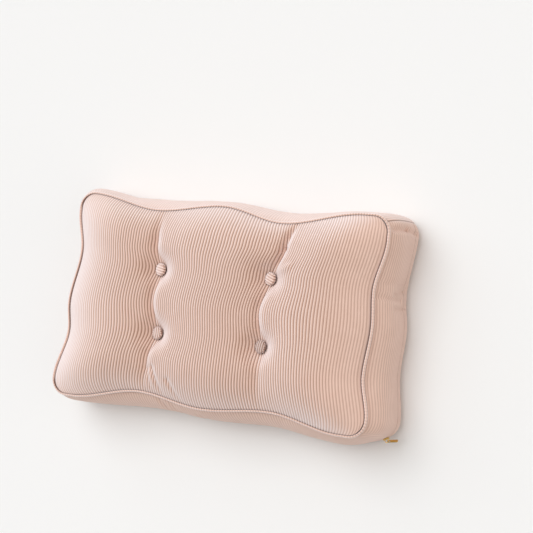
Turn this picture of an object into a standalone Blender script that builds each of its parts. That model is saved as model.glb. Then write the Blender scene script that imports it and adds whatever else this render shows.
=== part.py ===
"""Backrest pillow: a boxed and tufted corduroy cushion that lies on its back.

The front panel faces up. +X runs along the width, +Y towards the top edge as
the pillow stands in use, and +Z out of the front panel. The origin is at the
middle of the underside, on the surface that the pillow rests on.
"""

import math
from collections import namedtuple

import bmesh
import bpy
from mathutils import Matrix, Vector

MM = 0.001

EdgePoint = namedtuple("EdgePoint", "along reach")
Ring = namedtuple("Ring", "down out inset")
CreasePoint = namedtuple("CreasePoint", "up across depth")
Button = namedtuple("Button", "name across up")

# Front panel, measured between the piping lines
HALF_WIDTH = 286 * MM
HALF_HEIGHT = 172 * MM
FRONT_CORNER = 28 * MM
PIPING_HEIGHT = 93 * MM
CORNER_LIFT = 3 * MM

# Underside of the boxing, where it turns into the flat back
BACK_CORNER = 32 * MM

# Piping cord in the seam between the front panel and the boxing
PIPING_RADIUS = 1.9 * MM
PIPING_CLEARANCE = 0.5 * MM
SEAM_BED = (PIPING_RADIUS + PIPING_CLEARANCE) * math.sqrt(2)

# Corduroy: one raised wale and the groove beside it repeat over the width
WALES = 120
GROOVE_DEPTH = 1.0 * MM

# Crown of the filling above the piping line
CROWN = 34 * MM
CROWN_REACH_X = 112 * MM
CROWN_REACH_Y = 78 * MM
CROWN_POWER = 2.4

# Rows of the front panel from its middle to its edge, as shares of half height
PANEL_ROWS = (0.08, 0.23, 0.385, 0.53, 0.70, 0.88, 1.0)

# Where the panel starts to follow its wavy edge, as a share of half size
EDGE_BLEND_START = 0.45
SEAM_BLEND_START = 0.85

# Tufts
TUFT_FLOOR = 7 * MM
TUFT_FLAT_RADIUS = 17.5 * MM
TUFT_REACH = 44 * MM
BUTTON_RADIUS = 11.5 * MM
BUTTON_HEIGHT = 8 * MM
BUTTON_SIDES = 20
CLEARANCE = 0.3 * MM

# Half section of a button: shares of its radius and of its height
BUTTON_PROFILE = (
    (0.0, 1.0),
    (0.40, 0.93),
    (0.72, 0.78),
    (0.93, 0.56),
    (1.0, 0.38),
    (0.92, 0.16),
    (0.66, 0.0),
    (0.0, 0.0),
)

# Zip slider and its pull, at the lower right corner of the boxing. The slider
# sits on the crest of one wale and is as long as its span of columns.
SLIDER_LENGTH = 9 * MM
SLIDER_WIDTH = 7 * MM
SLIDER_THICKNESS = 2.6 * MM
SLIDER_COLUMN = 233
SLIDER_SPAN = 2
SLIDER_HEIGHT = 25 * MM
SLIDER_ROUNDING = 0.7 * MM
BRIDGE_WIRE = 0.6 * MM
BRIDGE_RISE = 4.2 * MM
BRIDGE_KNEE = 2.4 * MM
BRIDGE_FOOT = 3 * MM
BRIDGE_SHOULDER = 1.8 * MM
PULL_LENGTH = 17 * MM
PULL_WIDTH = 5.8 * MM
PULL_THICKNESS = 1.2 * MM
PULL_ROUNDING = 1.6 * MM
PULL_TILT = math.radians(24)
PULL_ROLL = math.radians(38)
EYE_BAR = 1.2 * MM
EYE_LENGTH = 3.6 * MM
EYE_WIDTH = 3.4 * MM
EYE_BAR_AHEAD = 0.5 * MM
EYE_BAR_DROP = 1.75 * MM

# Wavy edges of the front panel: place along the edge, reach from the centre
FRONT_TOP = (
    EdgePoint(-262 * MM, 174 * MM),
    EdgePoint(-130 * MM, 153 * MM),
    EdgePoint(-5 * MM, 167 * MM),
    EdgePoint(106 * MM, 147 * MM),
    EdgePoint(250 * MM, 170 * MM),
)
FRONT_BOTTOM = (
    EdgePoint(-260 * MM, 176 * MM),
    EdgePoint(-127 * MM, 153 * MM),
    EdgePoint(-5 * MM, 168 * MM),
    EdgePoint(120 * MM, 157 * MM),
    EdgePoint(245 * MM, 177 * MM),
)
FRONT_RIGHT = (
    EdgePoint(-150 * MM, 291 * MM),
    EdgePoint(-80 * MM, 277 * MM),
    EdgePoint(-5 * MM, 283 * MM),
    EdgePoint(50 * MM, 279 * MM),
    EdgePoint(132 * MM, 295 * MM),
)
FRONT_LEFT = (
    EdgePoint(-146 * MM, 303 * MM),
    EdgePoint(-64 * MM, 285 * MM),
    EdgePoint(-18 * MM, 291 * MM),
    EdgePoint(74 * MM, 277 * MM),
    EdgePoint(140 * MM, 288 * MM),
)

# Fullest line of the boxing, close to the back: straighter and further out
BACK_TOP = (
    EdgePoint(-285 * MM, 187 * MM),
    EdgePoint(-200 * MM, 175 * MM),
    EdgePoint(-140 * MM, 175 * MM),
    EdgePoint(-20 * MM, 179 * MM),
    EdgePoint(100 * MM, 168 * MM),
    EdgePoint(240 * MM, 178 * MM),
)
BACK_BOTTOM = (
    EdgePoint(-262 * MM, 187 * MM),
    EdgePoint(-120 * MM, 180 * MM),
    EdgePoint(0 * MM, 186 * MM),
    EdgePoint(95 * MM, 182 * MM),
    EdgePoint(235 * MM, 194 * MM),
    EdgePoint(300 * MM, 179 * MM),
)
BACK_RIGHT = (
    EdgePoint(-150 * MM, 315 * MM),
    EdgePoint(-70 * MM, 306 * MM),
    EdgePoint(-10 * MM, 309 * MM),
    EdgePoint(54 * MM, 302 * MM),
    EdgePoint(150 * MM, 312 * MM),
)
BACK_LEFT = (
    EdgePoint(-150 * MM, 313 * MM),
    EdgePoint(-70 * MM, 302 * MM),
    EdgePoint(-10 * MM, 307 * MM),
    EdgePoint(60 * MM, 301 * MM),
    EdgePoint(150 * MM, 310 * MM),
)

# Rings of the boxing below the seam: share of the way from the piping down to
# the underside, share of the way out to the fullest line, and inset
BOXING_RINGS = (
    Ring(0.13, 0.50, 0 * MM),
    Ring(0.42, 0.95, 0 * MM),
    Ring(0.78, 1.00, 0 * MM),
    Ring(1.00, 1.00, 15 * MM),
)

# Creases that run from edge to edge through the tufts: place up the panel,
# place across it, depth of the valley
LEFT_CREASE = (
    CreasePoint(-155 * MM, -119 * MM, 12 * MM),
    CreasePoint(-100 * MM, -112 * MM, 16 * MM),
    CreasePoint(-53 * MM, -100 * MM, 18 * MM),
    CreasePoint(2 * MM, -113 * MM, 13 * MM),
    CreasePoint(54 * MM, -107 * MM, 18 * MM),
    CreasePoint(92 * MM, -119 * MM, 16 * MM),
    CreasePoint(155 * MM, -118 * MM, 12 * MM),
)
RIGHT_CREASE = (
    CreasePoint(-155 * MM, 101 * MM, 11 * MM),
    CreasePoint(-100 * MM, 101 * MM, 14 * MM),
    CreasePoint(-55 * MM, 97 * MM, 18 * MM),
    CreasePoint(0 * MM, 88 * MM, 13 * MM),
    CreasePoint(55 * MM, 101 * MM, 18 * MM),
    CreasePoint(105 * MM, 121 * MM, 17 * MM),
    CreasePoint(155 * MM, 134 * MM, 13 * MM),
)
CREASE_REACH = 84 * MM

# Tuft buttons: name, place across, place up
BUTTONS = (
    Button("button_top_left", -107 * MM, 53 * MM),
    Button("button_bottom_left", -99 * MM, -53 * MM),
    Button("button_top_right", 101 * MM, 55 * MM),
    Button("button_bottom_right", 97 * MM, -55 * MM),
)


def clear_scene():
    """Remove every object that the new file starts with."""
    for item in list(bpy.data.objects):
        bpy.data.objects.remove(item, do_unlink=True)


def smooth_step(share):
    """Ease from 0 to 1, level at both ends."""
    share = min(max(share, 0.0), 1.0)
    return share * share * (3 - 2 * share)


def read_table(rows, place, column):
    """Read a named column at a place, eased between the rows and level beyond them."""
    if place <= rows[0][0]:
        return getattr(rows[0], column)
    for low, high in zip(rows, rows[1:]):
        if place <= high[0]:
            share = smooth_step((place - low[0]) / (high[0] - low[0]))
            return getattr(low, column) * (1 - share) + getattr(high, column) * share
    return getattr(rows[-1], column)


def corner_drop(u, half_width, radius):
    """How far a rounded corner falls short of the edge at the column u."""
    inside = (1 - abs(u)) * half_width
    if inside >= radius:
        return 0.0
    return radius - math.sqrt(radius ** 2 - (radius - inside) ** 2)


def follow_edges(u, v, edges, radius):
    """Place the panel point (u, v), each from -1 to 1, between four wavy edges."""
    top, bottom, right, left = edges
    side = right if u > 0 else left
    nominal_y = v * HALF_HEIGHT
    reach_x = read_table(side, nominal_y, "reach")
    pull_x = smooth_step((abs(u) - EDGE_BLEND_START) / (1 - EDGE_BLEND_START))
    x = u * HALF_WIDTH + math.copysign(pull_x, u) * (reach_x - HALF_WIDTH)
    rim = top if v > 0 else bottom
    reach_y = read_table(rim, x, "reach") - corner_drop(u, HALF_WIDTH, radius)
    pull_y = smooth_step((abs(v) - EDGE_BLEND_START) / (1 - EDGE_BLEND_START))
    y = nominal_y + math.copysign(pull_y, v) * (reach_y - HALF_HEIGHT)
    return Vector((x, y, 0))


def front_point(u, v):
    """Point of the front panel's outline or inside it, at the seam's height."""
    point = follow_edges(u, v, (FRONT_TOP, FRONT_BOTTOM, FRONT_RIGHT, FRONT_LEFT), FRONT_CORNER)
    cornerness = smooth_step(abs(u)) ** 3 * smooth_step(abs(v)) ** 3
    point.z = PIPING_HEIGHT + CORNER_LIFT * cornerness
    return point


def back_point(u, v):
    """Point of the boxing's fullest line, on the ground plane."""
    return follow_edges(u, v, (BACK_TOP, BACK_BOTTOM, BACK_RIGHT, BACK_LEFT), BACK_CORNER)


def outward(u, v, radius):
    """Direction that leads out of the outline at its edge point (u, v)."""
    inside = (1 - abs(u)) * HALF_WIDTH
    lean = max(radius - inside, 0) / radius
    if abs(v) < 1:
        lean = 1.0
    rest = math.sqrt(max(1 - lean ** 2, 0))
    return Vector((math.copysign(lean, u), math.copysign(rest, v), 0))


def rise(share):
    """Rise from 0 at the edge to 1 at the end of its reach, steepest at the edge."""
    share = min(max(share, 0.0), 1.0)
    return 1 - (1 - share) ** CROWN_POWER


def crease_depth(point, crease):
    """Depth of a crease's valley under the crown at a point of the panel."""
    middle = read_table(crease, point.y, "across")
    depth = read_table(crease, point.y, "depth")
    share = min(abs(point.x - middle) / CREASE_REACH, 1)
    return depth * (1 - share) ** 2


def panel_height(u, v):
    """Height of the filled front panel above the seam."""
    point = front_point(u, v)
    rim = front_point(u, math.copysign(1, v))
    inside_x = (1 - abs(u)) * HALF_WIDTH
    inside_y = abs(rim.y - point.y)
    swell = rise(inside_x / CROWN_REACH_X) * rise(inside_y / CROWN_REACH_Y)
    height = CROWN * swell
    height -= swell * crease_depth(point, LEFT_CREASE)
    height -= swell * crease_depth(point, RIGHT_CREASE)
    for button in BUTTONS:
        away = math.hypot(point.x - button.across, point.y - button.up)
        share = min(max((away - TUFT_FLAT_RADIUS) / (TUFT_REACH - TUFT_FLAT_RADIUS), 0), 1)
        pull = (1 - share) ** 2
        height += pull * (TUFT_FLOOR - height)
    return height


def is_groove(u):
    """Every second column of the panel runs along a groove between two wales."""
    column = round((u + 1) * WALES)
    return column % 2 == 0


def place_panel(panel):
    """Shape the flat grid of the front panel; give each edge point's (u, v)."""
    levels = panel_levels()
    edge = {}
    for vertex in panel.verts:
        u = vertex.co.x
        row = round((vertex.co.y + 1) / 2 * (len(levels) - 1))
        v = levels[row]
        on_edge = abs(u) > 1 - 1e-6 or abs(v) == 1
        point = front_point(u, v)
        if on_edge:
            point -= SEAM_BED * outward(u, v, FRONT_CORNER)
            edge[vertex] = (u, v)
        else:
            narrowing = smooth_step((abs(u) - SEAM_BLEND_START) / (1 - SEAM_BLEND_START))
            point.x -= math.copysign(SEAM_BED * narrowing, u)
            point.z += panel_height(u, v)
        if is_groove(u) and not on_edge:
            point.z -= GROOVE_DEPTH
        vertex.co = point
    return edge


def extend_ring(mesh, edge, place):
    """Extrude the open edge once and place each new point by its (u, v)."""
    rim = [item for item in mesh.edges if item.is_boundary]
    made = bmesh.ops.extrude_edge_only(mesh, edges=rim)["geom"]
    fresh = [item for item in made if isinstance(item, bmesh.types.BMVert)]
    following = {}
    for vertex in fresh:
        for link in vertex.link_edges:
            source = link.other_vert(vertex)
            if source in edge:
                following[vertex] = edge[source]
                break
    for vertex, (u, v) in following.items():
        vertex.co = place(u, v)
    return following


def under_seam(u, v):
    """Top of the boxing, straight below the piping."""
    return front_point(u, v) - Vector((0, 0, SEAM_BED))


def boxing_ring(row):
    """Give the function that places one ring of the boxing."""

    def place(u, v):
        front = front_point(u, v)
        point = front.lerp(back_point(u, v), row.out)
        point.z = front.z * (1 - row.down)
        depth = row.inset
        if is_groove(u) and abs(v) == 1:
            depth += GROOVE_DEPTH
        return point - depth * outward(u, v, BACK_CORNER)

    return place


def make_pillow(collection):
    """Filled body: ribbed front panel, swelling boxing and flat back, one solid."""
    mesh = bmesh.new()
    rows = 2 * len(PANEL_ROWS) - 1
    bmesh.ops.create_grid(mesh, x_segments=2 * WALES, y_segments=rows, size=1)
    edge = place_panel(mesh)
    edge = extend_ring(mesh, edge, under_seam)
    for row in BOXING_RINGS:
        edge = extend_ring(mesh, edge, boxing_ring(row))
    bmesh.ops.contextual_create(mesh, geom=[item for item in mesh.edges if item.is_boundary])
    bmesh.ops.recalc_face_normals(mesh, faces=mesh.faces)
    return add_mesh("pillow", mesh, cloth_material(), collection)


def panel_levels():
    """v of every row of the front panel's grid, from the bottom edge up."""
    return sorted([-row for row in PANEL_ROWS] + list(PANEL_ROWS))


def outline_walk():
    """(u, v) of the piping's points once round the front panel."""
    corner_steps = 6
    top_steps = 50
    bend = FRONT_CORNER / HALF_WIDTH
    turns = [math.pi / 2 * step / corner_steps for step in range(corner_steps)]
    insets = [bend * (1 - math.cos(turn)) for turn in turns]
    straight = 1 - bend
    upper = [(1 - inset, 1) for inset in insets]
    upper += [(straight * (1 - 2 * step / top_steps), 1) for step in range(top_steps + 1)]
    upper += [(inset - 1, 1) for inset in reversed(insets)]
    left = [(-1, level) for level in reversed(panel_levels()[1:-1])]
    half = upper + left
    return half + [(-u, -v) for u, v in half]


def make_piping(collection):
    """Closed cord that runs in the seam all round the front panel."""
    curve = bpy.data.curves.new("piping_path", "CURVE")
    curve.dimensions = "3D"
    curve.bevel_depth = PIPING_RADIUS
    curve.bevel_resolution = 2
    walk = outline_walk()
    spline = curve.splines.new("POLY")
    spline.points.add(len(walk) - 1)
    for knot, (u, v) in zip(spline.points, walk):
        knot.co = front_point(u, v).to_4d()
    spline.use_cyclic_u = True
    piping = bpy.data.objects.new("piping", curve)
    piping.data.materials.append(piping_material())
    collection.objects.link(piping)
    return piping


def make_button(spot, collection):
    """Covered button: a turned dome with a rounded rim, flat underneath."""
    line = bmesh.new()
    points = [
        line.verts.new((share * BUTTON_RADIUS, 0, height * BUTTON_HEIGHT))
        for share, height in BUTTON_PROFILE
    ]
    for start, end in zip(points, points[1:]):
        line.edges.new((start, end))
    button = add_mesh(spot.name, line, button_material(), collection)
    turn = button.modifiers.new("Turn", "SCREW")
    turn.steps = BUTTON_SIDES
    turn.render_steps = BUTTON_SIDES
    turn.use_merge_vertices = True
    turn.merge_threshold = 0.01 * MM
    turn.use_smooth_shade = True
    button.location = (spot.across, spot.up, PIPING_HEIGHT + TUFT_FLOOR + CLEARANCE)
    return button


def slider_seat():
    """Frame on the boxing's lower right corner: along, across and out of it."""
    upper, lower = (boxing_ring(row) for row in BOXING_RINGS[1:3])
    before, here, after = (
        (SLIDER_COLUMN + step) / WALES - 1 for step in (-SLIDER_SPAN, 0, SLIDER_SPAN)
    )
    high = upper(here, -1)
    low = lower(here, -1)
    share = (high.z - SLIDER_HEIGHT) / (high.z - low.z)
    middle = high.lerp(low, share)
    start = upper(before, -1).lerp(lower(before, -1), share)
    end = upper(after, -1).lerp(lower(after, -1), share)
    along = (end - start).normalized()
    rise = (high - low).normalized()
    out = along.cross(rise).normalized()
    across = out.cross(along).normalized()
    seat = middle + out * CLEARANCE
    turn = Matrix((along, across, out)).transposed().to_4x4()
    return Matrix.Translation(seat) @ turn


def make_slider(collection, guides):
    """Brass zip slider: a rounded block with a wire bridge for the pull."""
    block = bmesh.new()
    bmesh.ops.create_cube(block, size=1)
    bmesh.ops.scale(block, vec=(SLIDER_LENGTH, SLIDER_WIDTH, SLIDER_THICKNESS), verts=block.verts)
    slider = add_mesh("zip_slider", block, brass_material(), collection)
    soften = slider.modifiers.new("Soften", "BEVEL")
    soften.width = SLIDER_ROUNDING
    soften.segments = 2
    wire = bpy.data.curves.new("bridge_path", "CURVE")
    wire.dimensions = "3D"
    wire.bevel_depth = BRIDGE_WIRE
    wire.bevel_resolution = 1
    wire.use_fill_caps = True
    top = SLIDER_THICKNESS / 2
    route = (
        (-BRIDGE_FOOT, top - BRIDGE_WIRE),
        (-BRIDGE_FOOT, top + BRIDGE_KNEE),
        (-BRIDGE_SHOULDER, top + BRIDGE_RISE),
        (BRIDGE_SHOULDER, top + BRIDGE_RISE),
        (BRIDGE_FOOT, top + BRIDGE_KNEE),
        (BRIDGE_FOOT, top - BRIDGE_WIRE),
    )
    spline = wire.splines.new("POLY")
    spline.points.add(len(route) - 1)
    for knot, (along, out) in zip(spline.points, route):
        knot.co = (along, 0, out, 1)
    path = bpy.data.objects.new("bridge_path", wire)
    guides.objects.link(path)
    bpy.context.view_layer.update()
    seen = path.evaluated_get(bpy.context.evaluated_depsgraph_get())
    bridge_mesh = bpy.data.meshes.new_from_object(seen)
    weld = bmesh.new()
    weld.from_mesh(bridge_mesh)
    bmesh.ops.remove_doubles(weld, verts=weld.verts, dist=0.01 * MM)
    weld.to_mesh(bridge_mesh)
    weld.free()
    bridge = bpy.data.objects.new("bridge", bridge_mesh)
    bridge.hide_render = True
    bridge.display_type = "WIRE"
    guides.objects.link(bridge)
    bpy.data.objects.remove(path, do_unlink=True)
    join = slider.modifiers.new("Bridge", "BOOLEAN")
    join.operation = "UNION"
    join.object = bridge
    seat = slider_seat() @ Matrix.Translation((0, 0, SLIDER_THICKNESS / 2))
    slider.matrix_world = seat
    bridge.matrix_world = seat
    return slider


def make_pull(collection, guides):
    """Brass pull: a flat tab whose eye goes round the slider's bridge."""
    tab = bmesh.new()
    bmesh.ops.create_cube(tab, size=1)
    bmesh.ops.scale(tab, vec=(PULL_LENGTH, PULL_WIDTH, PULL_THICKNESS), verts=tab.verts)
    bmesh.ops.translate(tab, vec=(PULL_LENGTH / 2, 0, 0), verts=tab.verts)
    upright = [item for item in tab.edges if abs(item.verts[0].co.z - item.verts[1].co.z) > 0]
    bmesh.ops.bevel(
        tab, geom=upright, offset=PULL_ROUNDING, offset_type="OFFSET", segments=4, profile=0.5,
        affect="EDGES", material=-1,
    )
    pull = add_mesh("zip_pull", tab, brass_material(), collection)
    hole = bmesh.new()
    bmesh.ops.create_cube(hole, size=1)
    bmesh.ops.scale(hole, vec=(EYE_LENGTH, EYE_WIDTH, 4 * PULL_THICKNESS), verts=hole.verts)
    bmesh.ops.translate(hole, vec=(EYE_BAR + EYE_LENGTH / 2, 0, 0), verts=hole.verts)
    eye = add_mesh("eye", hole, brass_material(), guides)
    eye.hide_render = True
    eye.display_type = "WIRE"
    cut = pull.modifiers.new("Eye", "BOOLEAN")
    cut.operation = "DIFFERENCE"
    cut.object = eye
    wire_centre = Matrix.Translation((EYE_BAR_AHEAD, 0, SLIDER_THICKNESS + BRIDGE_RISE))
    roll = Matrix.Rotation(PULL_ROLL, 4, "X")
    drop = Matrix.Translation((0, 0, -EYE_BAR_DROP))
    hang = slider_seat() @ wire_centre @ roll @ drop @ Matrix.Rotation(-PULL_TILT, 4, "Y")
    pull.matrix_world = hang
    eye.matrix_world = hang
    return pull


def make_material(name, colour, roughness, metallic=0.0):
    """Principled material, made once and shared."""
    known = bpy.data.materials.get(name)
    if known:
        return known
    material = bpy.data.materials.new(name)
    material.use_nodes = True
    shader = material.node_tree.nodes["Principled BSDF"]
    shader.inputs["Base Color"].default_value = (*colour, 1)
    shader.inputs["Roughness"].default_value = roughness
    shader.inputs["Metallic"].default_value = metallic
    return material


def cloth_material():
    return make_material("dusty_pink_corduroy", (0.62, 0.38, 0.32), 0.95)


def button_material():
    return make_material("button_corduroy", (0.60, 0.37, 0.31), 0.95)


def piping_material():
    return make_material("piping_corduroy", (0.58, 0.35, 0.29), 0.95)


def brass_material():
    return make_material("brass", (0.72, 0.50, 0.18), 0.3, 1.0)


def add_mesh(name, shape, material, collection):
    """Turn a bmesh into a named object with its material."""
    mesh = bpy.data.meshes.new(name)
    shape.to_mesh(mesh)
    shape.free()
    mesh.materials.append(material)
    item = bpy.data.objects.new(name, mesh)
    collection.objects.link(item)
    return item


def add_collection(name):
    """Make a collection and link it to the scene."""
    collection = bpy.data.collections.new(name)
    bpy.context.scene.collection.children.link(collection)
    return collection


def main():
    """Build every piece of the pillow."""
    clear_scene()
    parts = add_collection("backrest_pillow")
    guides = add_collection("cutters")
    pillow = make_pillow(parts)
    pillow.data.shade_smooth()
    pillow.data.set_sharp_from_angle(angle=math.radians(50))
    make_piping(parts)
    for spot in BUTTONS:
        make_button(spot, parts)
    make_slider(parts, guides)
    make_pull(parts, guides)


main()
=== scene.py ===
"""Backrest pillow in dusty pink corduroy: its cover, piping, buttons, zip and studio.

Lengths are in metres. The front panel faces up (+Z), +X runs along the width and
+Y towards the top edge as the pillow stands in use.
"""

import math
from collections import namedtuple
from functools import partial

import bmesh
import bpy
from bpy.props import FloatProperty, FloatVectorProperty, IntProperty, PointerProperty
from mathutils import Matrix, Vector, noise


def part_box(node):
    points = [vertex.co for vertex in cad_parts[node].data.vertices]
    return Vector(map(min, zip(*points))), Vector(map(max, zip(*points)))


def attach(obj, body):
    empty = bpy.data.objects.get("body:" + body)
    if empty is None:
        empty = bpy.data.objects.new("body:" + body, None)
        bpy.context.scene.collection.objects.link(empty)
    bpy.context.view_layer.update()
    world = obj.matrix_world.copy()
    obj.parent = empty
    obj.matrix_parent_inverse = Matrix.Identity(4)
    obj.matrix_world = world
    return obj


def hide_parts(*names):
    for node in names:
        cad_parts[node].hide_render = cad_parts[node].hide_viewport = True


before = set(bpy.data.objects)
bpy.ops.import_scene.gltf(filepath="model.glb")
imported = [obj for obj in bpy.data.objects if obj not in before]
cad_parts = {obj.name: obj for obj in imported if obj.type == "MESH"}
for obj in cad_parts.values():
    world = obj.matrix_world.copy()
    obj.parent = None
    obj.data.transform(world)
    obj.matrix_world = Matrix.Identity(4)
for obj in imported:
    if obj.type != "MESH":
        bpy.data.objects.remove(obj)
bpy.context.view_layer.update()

bl_info = {
    "name": "Backrest Pillow",
    "version": (1, 0, 0),
    "blender": (4, 5, 0),
    "location": "3D View > Sidebar > Pillow",
    "description": "Makes a tufted corduroy pillow with piping, buttons and a brass zip slider",
    "category": "Add Mesh",
}

MM = 0.001

# A place beyond every table, and a difference too small to count
FAR = 1.0
TINY = 1e-6

EdgePoint = namedtuple("EdgePoint", "along reach")
CreasePoint = namedtuple("CreasePoint", "up across depth fold")
Button = namedtuple("Button", "name across up lay tone")
Fold = namedtuple("Fold", "start_x start_y end_x end_y depth reach")


def in_mm(kind, *rows):
    """Table of named rows, from plain rows in millimetres."""
    return tuple(kind(*(value * MM for value in row)) for row in rows)


# Front panel, measured between the piping lines
HALF_WIDTH = 286 * MM
HALF_HEIGHT = 172 * MM
FRONT_CORNER = 28 * MM
BACK_CORNER = 32 * MM
PIPING_HEIGHT = 93 * MM
CORNER_LIFT = 3 * MM
EDGE_BLEND_START = 0.45

# Seam bed under the piping cord
PIPING_RADIUS = 2.3 * MM
SEAM_BED = 3.4 * MM
TUCK_START = 0.85

# Crown of the filling above the piping line
CROWN_REACH_X = 112 * MM
CROWN_REACH_Y = 78 * MM
CROWN_POWER = 2.4

# Boxing between the seam and the flat underside: its fullest line, as a share of the
# way down, the round turn under it, and the rectangle where the flat back is closed
FULLEST_LEVEL = 0.7
SWELL_POWER = 3.37
TYPICAL_SWELL = 20 * MM
UNDER_HEIGHT = 21 * MM
UNDER_INSET = 15 * MM
UNDER_EDGE = 45 * MM
UNDER_BOW = 8 * MM
UNDER_BOW_START = 0.8

# Wales along the side boxing, the one where the back is sewn on, and its painted shade
BOXING_WALES = 24
BACK_SEAM_RING = 17
BACK_SEAM_SHADE = 0.7

# Mesh of the cover: rows of the front panel, closer together near its rims, samples
# for measuring a row or the boxing's curve, and cuts that shape each wale
PANEL_ROWS = 96
ROW_CROWDING = 1.3
ROW_SAMPLES = 180
CURVE_SAMPLES = 400
WALE_CUTS = 3

# Grooves between the wales, pressed in and darkened partly with painted shade: their form,
# and how shallow they are on the boxing, under the cord and where the cloth is drawn tight
# towards the side seams
GROOVE_POWER = 1.7
BOXING_GROOVE = 0.45
SEAM_GROOVE = 0.4
EDGE_TAUTNESS = 0.5
TAUT_START = 0.6

# Creases: reach of the wide valley and of the sharp fold
CREASE_REACH = 84 * MM
FOLD_REACH = 15 * MM

# Tufts: the hole under a button, how far it draws the cloth down, and the ring of painted
# shade beside the button
TUFT_HOLE = 9.5 * MM
TUFT_REACH = 44 * MM
TUFT_POWER = 2.4
TUFT_SHADE = 0.6
TUFT_RING = 3.4 * MM

# What stays put while the filling swells: the panel beyond a share of its half size,
# rings of the boxing at the seam and the back, and cloth near tufts, creases and zip
HELD_EDGE = 0.93
HELD_RINGS = 3
HELD_TUFT = 14 * MM
HELD_TUFT_FADE = 12 * MM
HELD_CREASE = 3 * MM
HELD_CREASE_FADE = 14 * MM
CREASE_HOLD = 0.85
SLIDER_CLEAR = 14 * MM

# Painted shade of the seam gap beside the cord: how dark it is along the sides, and on
# the wales' tops along the rims, where it is also wider
SIDE_SEAM_SHADE = 0.7
RIM_SEAM_SHADE = 0.55
RIM_SEAM_SHADE_WIDTH = 3.6 * MM

# Cord: points for each rib, how dark its ribs are along the sides, where towards the
# rims they are darkest (ground cloth and painted shade), and where on its inner side
# painted shade of the seam gap darkens it
RIB_STEPS = 4
SIDE_RIBS = 0.35
RIM_START = 0.8
RIM_FADE = 0.15
CORD_SHADE_START = 0.5
CORD_SHADE_FADE = 0.45
RIM_CORD_SHADE = 0.25

# Covered button: its form and mesh, and as shares of its radius or height the places
# where its wales, its rim under painted shade and its gathers start, with how dark they
# are: ground cloth and painted shade in the wales, painted shade in the gathers
BUTTON_EDGE = 0.42
DOME_WIDTH_POWER = 0.9
DOME_HEIGHT_POWER = 0.6
DOME_RINGS = 18
BUTTON_STEPS = 96
BUTTON_WALES_FADE = 0.3
BUTTON_WALES_SHADE = 1.3
BUTTON_RIM_FADE = 0.5
GATHER_START = 0.7
GATHER_FADE = 0.15
GATHER_SHADE = 0.75

# Wavy edges of the front panel: place along the edge, reach from the centre
FRONT_TOP = in_mm(EdgePoint, (-262, 174), (-130, 153), (-5, 167), (106, 147), (250, 170))
FRONT_BOTTOM = in_mm(EdgePoint, (-260, 176), (-127, 153), (-5, 168), (120, 157), (245, 177))
FRONT_RIGHT = in_mm(EdgePoint, (-150, 291), (-80, 277), (-5, 283), (50, 279), (132, 295))
FRONT_LEFT = in_mm(EdgePoint, (-146, 303), (-64, 285), (-18, 291), (74, 277), (140, 288))

# Fullest line of the boxing, close to the back: straighter and further out
BACK_TOP = in_mm(
    EdgePoint, (-285, 187), (-200, 175), (-140, 175),
    (-20, 179), (100, 168), (240, 178),
)
BACK_BOTTOM = in_mm(
    EdgePoint, (-262, 187), (-120, 180), (0, 186),
    (95, 182), (235, 194), (300, 179),
)
BACK_RIGHT = in_mm(EdgePoint, (-150, 315), (-70, 306), (-10, 309), (54, 302), (150, 312))
BACK_LEFT = in_mm(EdgePoint, (-150, 313), (-70, 302), (-10, 307), (60, 301), (150, 310))

# Creases through the tufts: place up the panel, place across it, depth of the
# wide valley, depth of the sharp fold at its bottom
LEFT_CREASE = in_mm(
    CreasePoint,
    (-155, -119, 12, 1),
    (-100, -112, 16, 4),
    (-53, -100, 18, 6),
    (2, -113, 13, 8),
    (54, -107, 18, 6),
    (92, -119, 16, 7),
    (155, -118, 12, 5),
)
RIGHT_CREASE = in_mm(
    CreasePoint,
    (-155, 101, 11, 0),
    (-100, 101, 14, 2),
    (-55, 97, 18, 6),
    (0, 88, 13, 8),
    (55, 101, 18, 6),
    (105, 121, 17, 8),
    (155, 134, 13, 7),
)
CREASES = (LEFT_CREASE, RIGHT_CREASE)

# Tuft buttons: name, place across, place up, turn of the wales on the button, and its
# painted light: above 1 where the button catches the light, below 1 where it is in shade
BUTTONS = (
    Button("button_top_left", -107 * MM, 53 * MM, math.radians(80), 1.1),
    Button("button_bottom_left", -99 * MM, -53 * MM, math.radians(20), 0.95),
    Button("button_top_right", 101 * MM, 55 * MM, math.radians(70), 1.1),
    Button("button_bottom_right", 97 * MM, -55 * MM, math.radians(-10), 0.77),
)

# How closely the wales follow the creases, in the middle and at the rims, how soon
# that fades beside a crease, and over how many rows to either side they run straight
FOLLOW = 0.7
FOLLOW_AT_RIM = 0.3
RIM_FOLLOW_START = 0.7
FOLLOW_FADE = 1.5
STRAIGHTEN = 14

# Small folds of the front panel, and ridges with a depth below 0: place across and
# up of the two ends, depth, reach to either side
PANEL_FOLDS = in_mm(
    Fold,
    (-99, -110, -82, -149, 5.5, 7),
    (-64, -127, -44, -160, 4.8, 7),
    (-109, -112, -104, -142, 4.0, 6),
    (116, 66, 141, 78, -3.0, 9),
    (124, 130, 114, 97, 3.4, 6),
    (107, 72, 121, 105, 4.0, 7),
    (121, 105, 134, 150, 4.0, 7),
    (-120, 101, -105, 67, 2.0, 14),
)

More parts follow.
